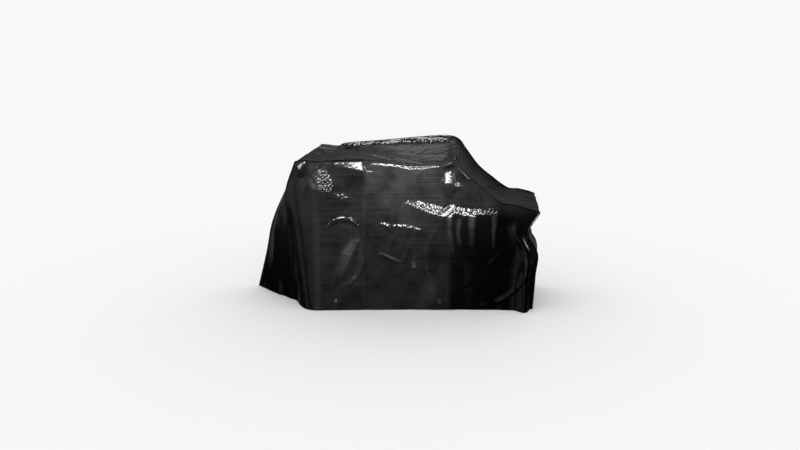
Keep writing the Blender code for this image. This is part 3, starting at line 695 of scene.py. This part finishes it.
def side_film(name, side, folds, arcs):
    """One side of the cover, with its hem, its folds and its half of the flange."""
    facing = 1.0 if side == "near" else -1.0
    top_at, hem_at = station_curve("top_" + side), station_curve("hem_" + side)
    fine, seed = FINE[side], SEEDS[side]
    shares = even_shares(lambda s: (top_at(s) + hem_at(s)) / 2, len(STATIONS) - 1, fine)
    above_hem = np.linspace(ABOVE_HEM, SIDE_TALL / HEM_FOLD, int(SIDE_TALL / fine))
    heights = np.concatenate((HEM_ROWS, above_hem)) * HEM_FOLD / SIDE_TALL
    base = side_base(side, shares, heights)
    normals = facing * outward(base)
    u, v = base[:, :, 0], base[:, :, 2]
    hem_line, top_line = base[0, :, 2], base[-1, :, 2]
    from_hem, from_top = v - hem_line[None], top_line[None] - v
    along = path_length(base[len(base) // 2])
    from_left, from_right = along[None] + 0 * v, (along[-1] - along)[None] + 0 * v

    stand = crests_height(u, v, folds) + arc_height(u, v, arcs)
    for k, creases in enumerate(SIDE_CREASES):
        stand += crumple(u, v, seed + k, *creases)
    stand *= smooth(from_left / EDGE_EASE) * smooth(from_right / EDGE_EASE)
    stand *= np.clip(from_top / TOP_EASE, 0.0, 1.0)
    hem_wave = ripple(along, seed + 2, SIDE_WAVES)
    stand += SIDE_WAVE * hem_wave[None] * (1.0 - smooth(from_hem / HEM_EASE))
    stand += HEM_DOUBLE * (from_hem < HEM_FOLD * HEM_END)
    grid = base + normals * stand[:, :, None]
    if side == "near":
        for x in EYELETS.values():
            away = np.hypot(grid[:, :, 0] - x, grid[:, :, 2] - EYELET_HEIGHT)
            flat = 1.0 - smooth((away - EYELET_FLAT) / EYELET_BLEND)
            grid[:, :, 1] += (EYELET_Y - grid[:, :, 1]) * flat

    return add_flange(name, side, grid, seam_frames(side, heights, shares))


def side_paint(side, x, z):
    """Painted light and shade, and crinkle, at each point of a side."""
    if side == "near":
        haze = near_haze(x, z) + crests_height(x, z, NEAR_PAINTED_STREAKS)
        return haze, np.clip(crests_height(x, z, NEAR_CRINKLED), 0.0, 1.0)
    return FAR_PAINTED_LIGHT[0] + FAR_PAINTED_LIGHT[1] * smooth(z - FAR_FOOT), FAR_CRINKLE + 0.0 * x


def flange_rows(frames, aside):
    """Points along one seam: beside the seam itself, then at each step out on its flange."""
    seam, out, across = frames
    waves = ripple(path_length(seam), FLANGE_SEED, FLANGE_WAVES)
    rows = []
    for past in range(FLANGE_STEPS + 1):
        share = past / FLANGE_STEPS
        reach = FLANGE * share * (1.0 + FLANGE_UNEVEN * waves)[:, None]
        wave = (FLANGE_WAVE * waves * share ** 2)[:, None]
        rows.append(seam + across * aside + out * reach + across * wave)
    return rows


def add_flange(name, side, grid, frames):
    """Carry the left, top and right edges of a side's grid on into its flange."""
    rows, columns = grid.shape[:2]
    steps = FLANGE_STEPS
    row_of = np.clip(np.arange(rows + steps), 0, rows - 1)
    column_of = np.clip(np.arange(-steps, columns + steps), 0, columns - 1)
    full = grid[row_of][:, column_of]
    flange = flange_rows(frames, HALF_SEAM)
    for i, row in enumerate(row_of):
        for j, column in enumerate(column_of):
            if column == 0:
                place = row
            elif column == columns - 1:
                place = 2 * rows + columns - 3 - row
            elif row == rows - 1:
                place = rows - 1 + column
            else:
                continue
            past = max(i - row, abs(j - steps - column))
            full[i, j] = flange[past][place]
    uv = np.stack((full[:, :, 0], full[:, :, 2]), axis=2)
    haze, crinkle = side_paint(side, full[:, :, 0], full[:, :, 2])
    if side == "far":
        full, uv, haze, crinkle = full[:, ::-1], uv[:, ::-1], haze[:, ::-1], crinkle[:, ::-1]
    return lay_grid(name, full, uv, haze=haze, crinkle=crinkle)


def gusset_film(name):
    """The long strip between the sides: up the left end, along the top and down the right."""
    end, fine, seed = len(STATIONS) - 1, FINE["gusset"], SEEDS["gusset"]
    heights = np.linspace(0.0, 1.0, int(END_TALL / fine))
    shares = even_shares(station_curve("top_near"), end, fine)
    near_frames, far_frames = (seam_frames(side, heights, shares) for side in ("near", "far"))
    near, far = near_frames[0], far_frames[0]
    knots = list(range(len(STATIONS)))
    sags = hermite([(-station.sag,) for station in STATIONS], knots, shares)[:, 0]
    bulges = [hermite([(row.bulge,) for row in rows], [row.height for row in rows], heights)[:, 0]
              for rows in (LEFT_END, RIGHT_END)]
    crown = np.concatenate((bulges[0], sags[1:-1], bulges[1][::-1]))
    part = np.concatenate((0 * heights, 0 * sags[1:-1] + 1, 0 * heights + 2))
    places = np.linspace(0.0, 1.0, int(GUSSET_WIDE / fine) + 1)[:, None]
    grid = near[None] * (1.0 - places[:, :, None]) + far[None] * places[:, :, None]
    normals = outward(grid)
    middle = grid[len(places) // 2]
    w = places * np.linalg.norm(far - near, axis=1)[None]
    edge = np.minimum(w, np.linalg.norm(far - near, axis=1)[None] - w)
    stand = crown[None] * 4.0 * places * (1.0 - places)
    x = grid[:, :, 0]
    z = middle[None, :, 2] + 0 * x
    folded = crests_height(x, w, TOP_CRESTS) * (part == 1)[None]
    folded += crests_height(z, w, LEFT_CRESTS) * (part == 0)[None]
    folded += crests_height(z, w, RIGHT_CRESTS) * (part == 2)[None]
    run = path_length(middle)[None] + 0 * x
    for k, creases in enumerate(GUSSET_CREASES):
        folded += crumple(run, w, seed + k, *creases)
    stand += folded * smooth(edge / EDGE_EASE)
    hem = np.minimum(run, run[:, -1:] - run)
    stand += END_WAVE * ripple(w[:, :1] + 0 * w, seed + 2, END_WAVES) * (1.0 - smooth(hem / HEM_EASE))
    grid = grid + normals * stand[:, :, None]

    rows = flange_rows(near_frames, -HALF_SEAM)[::-1] + list(grid[1:-1])
    rows += flange_rows(far_frames, -HALF_SEAM)
    full = np.array(rows)
    across = np.cumsum(np.concatenate(([0.0], np.full(len(full) - 1, GUSSET_WIDE / len(places)))))
    uv = np.stack((np.broadcast_to(run[0], full.shape[:2]),
                   np.broadcast_to(across[:, None], full.shape[:2])), axis=2)
    grow = ((FLANGE_STEPS, FLANGE_STEPS), (0, 0))
    # Painted light of the strip: along the top by place, with painted streaks, and on the ends darker
    # towards the hem.
    top_haze = read_table(TOP_PAINTED_LIGHT, x)
    end_haze = read_table(END_PAINTED_LIGHT, z)
    painted_streaks = crests_height(x, w, TOP_PAINTED_STREAKS)
    haze = np.pad(np.where(part[None] == 1, top_haze + painted_streaks, end_haze), grow, mode="edge")
    crinkle = np.pad(crests_height(x, w, TOP_CRINKLED) * (part == 1)[None], grow, mode="edge")
    return lay_grid(name, full, uv, haze=haze, crinkle=np.clip(crinkle, 0.0, 1.0))


def eyelet(name, x):
    """A pressed two-part eyelet: a barrel, and two plates with a sunk ring that grip the film."""
    middle = Vector((x, EYELET_Y, EYELET_HEIGHT))
    bpy.ops.object.select_all(action="DESELECT")
    bpy.ops.mesh.primitive_cylinder_add(vertices=EYELET_SIDES, radius=EYELET_RIM,
                                        depth=2.0 * EYELET_FACE, location=middle,
                                        rotation=(math.pi / 2, 0.0, 0.0))
    obj = bpy.context.object
    obj.name = obj.data.name = name
    bpy.ops.object.transform_apply(location=True, rotation=True, scale=True)
    bpy.ops.object.mode_set(mode="EDIT")
    for side in (-1.0, 1.0):
        bpy.ops.mesh.select_all(action="SELECT")
        bpy.ops.mesh.bisect(plane_co=middle + Vector((0.0, side * EYELET_GRIP, 0.0)),
                            plane_no=(0.0, 1.0, 0.0))
    # The middle of the wall, between the plates, is drawn in to make the barrel.
    select_parts(obj, "FACE", lambda face: abs(face.normal.y) < 0.5
                 and abs(face.center.y - EYELET_Y) < EYELET_GRIP)
    bpy.ops.mesh.extrude_region_move()
    narrow = EYELET_BARREL / EYELET_RIM
    bpy.ops.transform.resize(value=(narrow, 1.0, narrow), center_override=middle)
    # Only the two round ends have more than four corners.
    select_parts(obj, "FACE", lambda face: len(face.vertices) > 4)
    bpy.ops.mesh.inset(thickness=EYELET_RIM - EYELET_HOLE)
    bpy.ops.mesh.bridge_edge_loops()
    select_parts(obj, "FACE",
                 lambda face: abs(face.center.y - EYELET_Y) > EYELET_FACE - EYELET_NEAR)
    bpy.ops.mesh.inset(thickness=EYELET_LIP)
    bpy.ops.transform.resize(value=(1.0, EYELET_SINK, 1.0), center_override=middle)

    def on_ring(radius):
        """Picks the edges round the ring at this radius, but none from face to face."""
        def picks(edge):
            ends = [obj.data.vertices[i].co for i in edge.vertices]
            return abs(ends[0].y - ends[1].y) < EYELET_NEAR and all(
                abs(math.hypot(end.x - x, end.z - EYELET_HEIGHT) - radius) < 2.0 * EYELET_NEAR
                and abs(end.y - EYELET_Y) > EYELET_FACE - EYELET_NEAR for end in ends)
        return picks

    for radius, (offset, segments) in zip((EYELET_RIM, EYELET_HOLE), EYELET_ROUND):
        select_parts(obj, "EDGE", on_ring(radius))
        bpy.ops.mesh.bevel(offset=offset, segments=segments)
    bpy.ops.mesh.select_all(action="SELECT")
    bpy.ops.mesh.normals_make_consistent(inside=False)
    bpy.ops.object.mode_set(mode="OBJECT")
    bpy.ops.object.shade_smooth_by_angle(angle=math.radians(EYELET_SMOOTH))
    return obj


# ---------------------------------------------------------------- materials
# Sizes of the patterns on the film and the metal, in millimetres.
CLOUD = 110.0             # patches of dust, and of duller gloss
DRAW_APART = 9.0          # draw lines along the roll
DRAW_LONG = 1.5           # of their lengths to a metre, so each is about 670 mm long
WARP = 30.0               # what makes the crinkle's cells uneven
WARP_BY = 0.008           # and how far it moves them, in metres
CELL = (13.0, 19.0)       # width and height of a cell of the crinkle
PEEL = 14.0               # the slight unevenness of all blown film
STAIN = 4.0               # dull spots on the metal
BRUSHED = 0.5             # fine scratches on the metal
MIDDLE = {"From Min": 0.3, "From Max": 0.7}    # the part of a noise's range that it mostly keeps to


def linear(code):
    """sRGB hex to linear RGBA."""
    values = [int(code[i:i + 2], 16) / 255.0 for i in (0, 2, 4)]
    return (*[v / 12.92 if v <= 0.04045 else ((v + 0.055) / 1.055) ** 2.4 for v in values], 1.0)


def add_node(tree, kind, settings=None, links=None):
    """Add a shader node; settings are its properties or sockets, links the outputs that feed it."""
    node = tree.nodes.new("ShaderNode" + kind)
    for key, value in (settings or {}).items():
        if isinstance(key, int) or key in node.inputs:
            node.inputs[key].default_value = value
        else:
            setattr(node, key, value)
    for key, output in (links or {}).items():
        tree.links.new(output, node.inputs[key])
    return node


def new_material(name):
    """An empty material, with its node tree and its shader."""
    material = bpy.data.materials.new(name)
    material.use_nodes = True
    tree = material.node_tree
    return material, tree, tree.nodes["Principled BSDF"]


def black_film():
    """Blown black polyethylene: glossy, greyed by painted sheen and shade, drawn along the roll, crinkled
    in places.
    """
    material, tree, shader = new_material("blown_polyethylene_film")
    shader.inputs["IOR"].default_value = 1.45
    uv = add_node(tree, "TexCoord").outputs["UV"]
    haze = add_node(tree, "Attribute", {"attribute_name": "haze"})
    crinkle = add_node(tree, "Attribute", {"attribute_name": "crinkle"})

    # Painted light gives the eye grey film in place of flat black: the grey is a painted reflection of
    # the gloss, and near-black is painted shade. It lies where it was painted, thicker and thinner in
    # soft clouds, and caught in the draw lines. Real draw lines are finer than would show, so they are
    # drawn coarser.
    cloud = add_node(tree, "TexNoise", {"Scale": THOUSAND / CLOUD, "Detail": 4.0},
                     {"Vector": uv})
    patch = add_node(tree, "MapRange", {**MIDDLE, "To Min": 0.60, "To Max": 1.38},
                     {"Value": cloud.outputs["Fac"]})
    draw_place = add_node(tree, "Mapping",
                          {"Scale": (DRAW_LONG, THOUSAND / DRAW_APART, 1.0)}, {"Vector": uv})
    draw = add_node(tree, "TexNoise", {"Scale": 1.0, "Detail": 1.0},
                    {"Vector": draw_place.outputs["Vector"]})
    lines = add_node(tree, "MapRange",
                     {"From Min": 0.35, "From Max": 0.70, "To Min": 0.85, "To Max": 1.32},
                     {"Value": draw.outputs["Fac"]})
    even = add_node(tree, "Math", {"operation": "MULTIPLY"},
                    {0: haze.outputs["Fac"], 1: patch.outputs["Result"]})
    painted_tone = add_node(tree, "Math", {"operation": "MULTIPLY"},
                    {0: even.outputs[0], 1: lines.outputs["Result"]})
    # Near-black film, and the grey of painted sheen where the painted light is high.
    colour = add_node(tree, "Mix", {"data_type": "RGBA", 6: linear("010101"),
                                    7: linear("272728")}, {0: painted_tone.outputs[0]})
    tree.links.new(colour.outputs[2], shader.inputs["Base Color"])

    # A high gloss keeps the highlights long and sharp. It is duller in the same clouds.
    rough = add_node(tree, "MapRange", {**MIDDLE, "To Min": 0.11, "To Max": 0.17},
                     {"Value": cloud.outputs["Fac"]})
    tree.links.new(rough.outputs["Result"], shader.inputs["Roughness"])

    # The crinkle gives the eye many small bright facets. Its cells are drawn coarser than real
    # ones, which would not show, and are warped so that no two are alike.
    warp = add_node(tree, "TexNoise", {"Scale": THOUSAND / WARP, "Detail": 2.0},
                    {"Vector": uv})
    bent = add_node(tree, "VectorMath", {"operation": "MULTIPLY_ADD", 1: (WARP_BY, WARP_BY, 0.0)},
                    {0: warp.outputs["Color"], 2: uv})
    cell_place = add_node(tree, "Mapping",
                          {"Scale": (THOUSAND / CELL[0], THOUSAND / CELL[1], 1.0)},
                          {"Vector": bent.outputs["Vector"]})
    cells = add_node(tree, "TexVoronoi", {"Scale": 1.0},
                     {"Vector": cell_place.outputs["Vector"]})
    crinkle_share = add_node(tree, "MapRange", {"To Min": 0.02, "To Max": 1.0},
                             {"Value": crinkle.outputs["Fac"]})
    domes = add_node(tree, "Math", {"operation": "MULTIPLY"},
                     {0: cells.outputs["Distance"], 1: cells.outputs["Distance"]})
    pinched = add_node(tree, "Bump", {"Distance": -0.010},
                       {"Height": domes.outputs[0], "Strength": crinkle_share.outputs["Result"]})

    # All of the film is a little uneven, with faint ribs along its draw lines, so that no
    # highlight is as straight as on glass.
    fine = add_node(tree, "TexNoise", {"Scale": THOUSAND / PEEL, "Detail": 3.0},
                    {"Vector": uv})
    peel = add_node(tree, "Bump", {"Strength": 0.25, "Distance": 0.001},
                    {"Height": fine.outputs["Fac"], "Normal": pinched.outputs["Normal"]})
    ribs = add_node(tree, "Bump", {"Strength": 0.2, "Distance": 0.001},
                    {"Height": draw.outputs["Fac"], "Normal": peel.outputs["Normal"]})
    tree.links.new(ribs.outputs["Normal"], shader.inputs["Normal"])
    return material


def nickel_plate():
    """Nickel plate on pressed steel: a metal gleam, dulled in cloudy spots and finely scratched."""
    material, tree, shader = new_material("nickel_plated_steel")
    shader.inputs["Metallic"].default_value = 1.0
    place = add_node(tree, "TexCoord").outputs["Object"]
    cloud = add_node(tree, "TexNoise", {"Scale": THOUSAND / STAIN, "Detail": 5.0},
                     {"Vector": place})
    dull = add_node(tree, "MapRange", {"From Min": 0.45, "From Max": 0.70},
                    {"Value": cloud.outputs["Fac"]})
    tone = add_node(tree, "Mix", {"data_type": "RGBA", 6: linear("8d8c8a"),
                                  7: linear("5f5e5a")}, {0: dull.outputs["Result"]})
    tree.links.new(tone.outputs[2], shader.inputs["Base Color"])
    rough = add_node(tree, "MapRange", {**MIDDLE, "To Min": 0.24, "To Max": 0.42},
                     {"Value": cloud.outputs["Fac"]})
    tree.links.new(rough.outputs["Result"], shader.inputs["Roughness"])
    brushed = add_node(tree, "TexNoise", {"Scale": THOUSAND / BRUSHED, "Detail": 2.0},
                       {"Vector": place})
    scratch = add_node(tree, "Bump", {"Strength": 0.15, "Distance": 0.0001},
                       {"Height": brushed.outputs["Fac"]})
    tree.links.new(scratch.outputs["Normal"], shader.inputs["Normal"])
    return material


# ---------------------------------------------------------------- studio
FLOOR_RADIUS = 14.0
FLOOR_FADE = 3.6          # distance at which the floor has faded into the surround
FLOOR_EVEN = 0.4 * FLOOR_FADE    # and up to which it shows in full
FLOOR_SIDES = 96
FLOOR_CLEAR = 0.001       # gap below the hem
SURROUND = "f8f8f8"
EVEN_LIGHT = 1.1          # what matt things are lit by from all sides
DIM_ROOM = 0.005          # what the film mirrors where there is no glow
CAMERA_LENS = 31.05
CAMERA_DIP = 11.93        # degrees below level
CAMERA_PLACE = (0.0356, -4.7934, 1.55)

Softbox = namedtuple("Softbox", "name place aim size radiance")
SOFTBOXES = [
    Softbox("key", (-0.1, -2.5, 2.75), (0.0, -0.2, 0.7), (2.6, 1.25), 34.0),
    Softbox("top", (0.1, -0.3, 3.6), (0.1, 0.2, 0.7), (2.0, 0.8), 14.0),
    Softbox("rear", (0.0, 3.1, 2.4), (0.0, 0.3, 0.6), (5.0, 1.4), 14.0),
]

# A glow is a soft round patch of light in the dim room, seen only in the film's gloss. Azimuth 0
# is the front and 90 the right; it is even out to "inner" degrees and gone at "outer".
Glow = namedtuple("Glow", "name azimuth elevation inner outer strength")
GLOWS = [
    Glow("front", -21.0, -8.0, 4.0, 24.0, 0.26),
    Glow("front_high", -18.0, 13.0, 6.0, 20.0, 0.9),
    Glow("left", -75.0, -4.0, 10.0, 30.0, 0.22),
    Glow("left_high", -66.0, 28.0, 9.0, 19.0, 14.0),
    Glow("right_high", 49.0, 21.0, 4.0, 10.0, 16.0),
    Glow("right", 90.0, 0.0, 8.0, 24.0, 0.12),
    Glow("back", 180.0, 14.0, 10.0, 36.0, 0.09),
    Glow("back_high", 180.0, 46.0, 8.0, 22.0, 0.60),
    Glow("back_right_low", 150.0, -16.0, 6.0, 24.0, 0.08),
    Glow("back_left_low", 205.0, -16.0, 4.0, 20.0, 0.06),
]


def put_in_scene(name, data, place):
    """A new object of a camera's or a light's data, at its place."""
    obj = bpy.data.objects.new(name, data)
    bpy.context.scene.collection.objects.link(obj)
    obj.location = place
    return obj


def camera():
    """The view of the near side, from a little above it."""
    data = bpy.data.cameras.new("camera")
    data.lens = CAMERA_LENS
    obj = put_in_scene("camera", data, CAMERA_PLACE)
    obj.rotation_euler = (math.radians(90.0 - CAMERA_DIP), 0.0, 0.0)
    bpy.context.scene.camera = obj


def softbox(box, lit):
    """A rectangular soft light of an even radiance that lights only the given collection."""
    data = bpy.data.lights.new(box.name, "AREA")
    data.shape = "RECTANGLE"
    data.size, data.size_y = box.size
    data.energy = box.radiance * math.pi * box.size[0] * box.size[1]
    obj = put_in_scene(box.name, data, box.place)
    obj.rotation_euler = (Vector(box.aim) - Vector(box.place)).to_track_quat("-Z", "Y").to_euler()
    obj.visible_camera = False
    obj.light_linking.receiver_collection = lit


def floor():
    """A round pale floor whose rim fades into the pale surround, and which the film doesn't mirror."""
    bpy.ops.object.select_all(action="DESELECT")
    bpy.ops.mesh.primitive_circle_add(vertices=FLOOR_SIDES, radius=FLOOR_RADIUS, fill_type="NGON",
                                      location=(0.0, 0.0, cad_box[0].z - FLOOR_CLEAR))
    obj = bpy.context.object
    obj.name = "floor"
    obj.visible_glossy = False
    material, tree, shader = new_material("matt_floor")
    shader.inputs["Base Color"].default_value = linear("eeeeee")
    shader.inputs["Roughness"].default_value = 0.9
    shader.inputs["Specular IOR Level"].default_value = 0.1
    place = add_node(tree, "TexCoord")
    reach = add_node(tree, "VectorMath", {"operation": "LENGTH"},
                     {"Vector": place.outputs["Object"]})
    fade = add_node(tree, "MapRange", {"From Min": FLOOR_FADE, "From Max": FLOOR_EVEN,
                                       "interpolation_type": "SMOOTHSTEP"},
                    {"Value": reach.outputs["Value"]})
    rim = add_node(tree, "Emission", {"Color": linear(SURROUND)})
    mix = add_node(tree, "MixShader", links={0: fade.outputs["Result"], 1: rim.outputs[0],
                                             2: shader.outputs[0]})
    tree.links.new(mix.outputs[0], tree.nodes["Material Output"].inputs["Surface"])
    obj.data.materials.append(material)


def studio(lit):
    """Pale surround to the eye, even light on matt things, and a dim room in the film's gloss."""
    world = bpy.data.worlds.new("studio")
    bpy.context.scene.world = world
    world.use_nodes = True
    world.cycles.sampling_method = "NONE"
    tree = world.node_tree
    tree.nodes.clear()
    place = add_node(tree, "TexCoord")
    total = None
    for glow in GLOWS:
        turn, rise = math.radians(glow.azimuth), math.radians(glow.elevation)
        aim = (math.sin(turn) * math.cos(rise), -math.cos(turn) * math.cos(rise), math.sin(rise))
        near = add_node(tree, "VectorMath", {"operation": "DOT_PRODUCT", 1: aim},
                        {0: place.outputs["Generated"]})
        level = add_node(tree, "MapRange", {
            "From Min": math.cos(math.radians(glow.outer)), "From Max": math.cos(math.radians(glow.inner)),
            "To Min": 0.0, "To Max": glow.strength, "interpolation_type": "SMOOTHSTEP"},
            {"Value": near.outputs["Value"]})
        if total is None:
            total = level.outputs["Result"]
            continue
        both = add_node(tree, "Math", {"operation": "ADD"},
                        {0: total, 1: level.outputs["Result"]})
        total = both.outputs[0]
    base = add_node(tree, "Math", {"operation": "ADD", 1: DIM_ROOM}, {0: total})
    seen = add_node(tree, "Background", {"Color": linear(SURROUND), "Strength": 1.0})
    even = add_node(tree, "Background", {"Color": linear("ffffff"), "Strength": EVEN_LIGHT})
    room = add_node(tree, "Background", {"Color": linear("ffffff")},
                    {"Strength": base.outputs[0]})
    path = add_node(tree, "LightPath")
    light = add_node(tree, "MixShader", links={0: path.outputs["Is Diffuse Ray"],
                                               1: room.outputs[0], 2: even.outputs[0]})
    mix = add_node(tree, "MixShader", links={0: path.outputs["Is Camera Ray"],
                                               1: light.outputs[0], 2: seen.outputs[0]})
    add_node(tree, "OutputWorld", links={"Surface": mix.outputs[0]})
    bpy.context.scene.view_settings.view_transform = "Standard"
    for box in SOFTBOXES:
        softbox(box, lit[box.name])


def build():
    """Set the studio up, then make each piece, hang it on the root and hide the solid parts it stands in
    for.
    """
    lit = {box.name: bpy.data.collections.new("lit_by_" + box.name) for box in SOFTBOXES}
    camera()
    studio(lit)
    floor()
    film = black_film()
    near = side_film("near_film", "near", NEAR_CRESTS, NEAR_ARCS)
    far = side_film("far_film", "far", FAR_CRESTS, FAR_ARCS)
    strip = gusset_film("gusset_film")
    for x in EYELETS.values():
        punch(near, x, EYELET_HEIGHT)
    for piece in (near, far, strip):
        piece.data.materials.append(film)
        thicken(piece)
        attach(piece, "root")
        lit["top"].objects.link(piece)
    lit["key"].objects.link(near)
    lit["rear"].objects.link(far)
    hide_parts("near_side_panel", "near_hem_strip")
    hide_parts("far_side_panel")
    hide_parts("gusset")
    plate = nickel_plate()
    for node, x in EYELETS.items():
        ring = eyelet(node + "_ring", x)
        ring.data.materials.append(plate)
        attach(ring, "root")
        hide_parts(node)
        lit["key"].objects.link(ring)
        lit["top"].objects.link(ring)


build()
